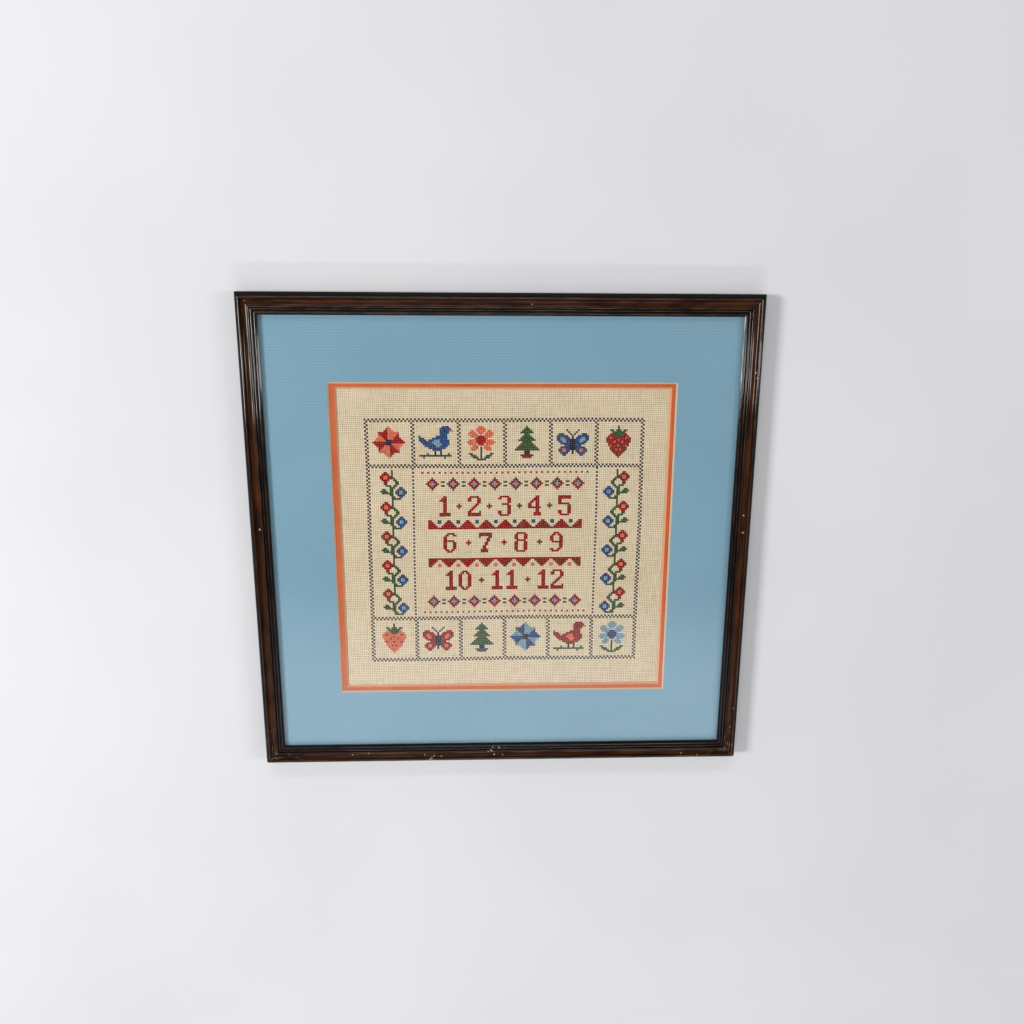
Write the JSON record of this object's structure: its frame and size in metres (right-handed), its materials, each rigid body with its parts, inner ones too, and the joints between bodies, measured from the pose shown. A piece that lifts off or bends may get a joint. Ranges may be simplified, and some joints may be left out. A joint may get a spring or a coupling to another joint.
{
  "type": "framed cross stitch sampler: stitched cloth in a glazed wooden picture frame",
  "caption": "Square stitched cloth behind two window mats and glass, in a dark stepped wooden moulding with mitred corners.",
  "frame": {"origin": "middle of the frame's back, on the surface that the back lies on", "axes": "+Z out of the picture's face, +Y towards the picture's top edge, +X towards its right edge"},
  "size_m": [0.483, 0.4652, 0.0192],
  "materials": {
    "dark_wood": "satin dark stain, worn pale on its edges",
    "clear_glass": "clear picture glass",
    "blue_card": "blue ribbed cloth-faced card with a pale bevel",
    "orange_card": "matt burnt orange card with a pale bevel",
    "evenweave_cloth": "oatmeal cotton evenweave with coloured cotton cross stitch",
    "brown_board": "plain matt hardboard"
  },
  "bodies": {
    "root": {"rail_bottom": "dark_wood", "rail_right": "dark_wood", "rail_top": "dark_wood", "rail_left": "dark_wood", "glass_pane": "clear_glass", "outer_mat": "blue_card", "inner_mat": "orange_card", "sampler_cloth": "evenweave_cloth", "backing_board": "brown_board"}
  },
  "joints": []
}
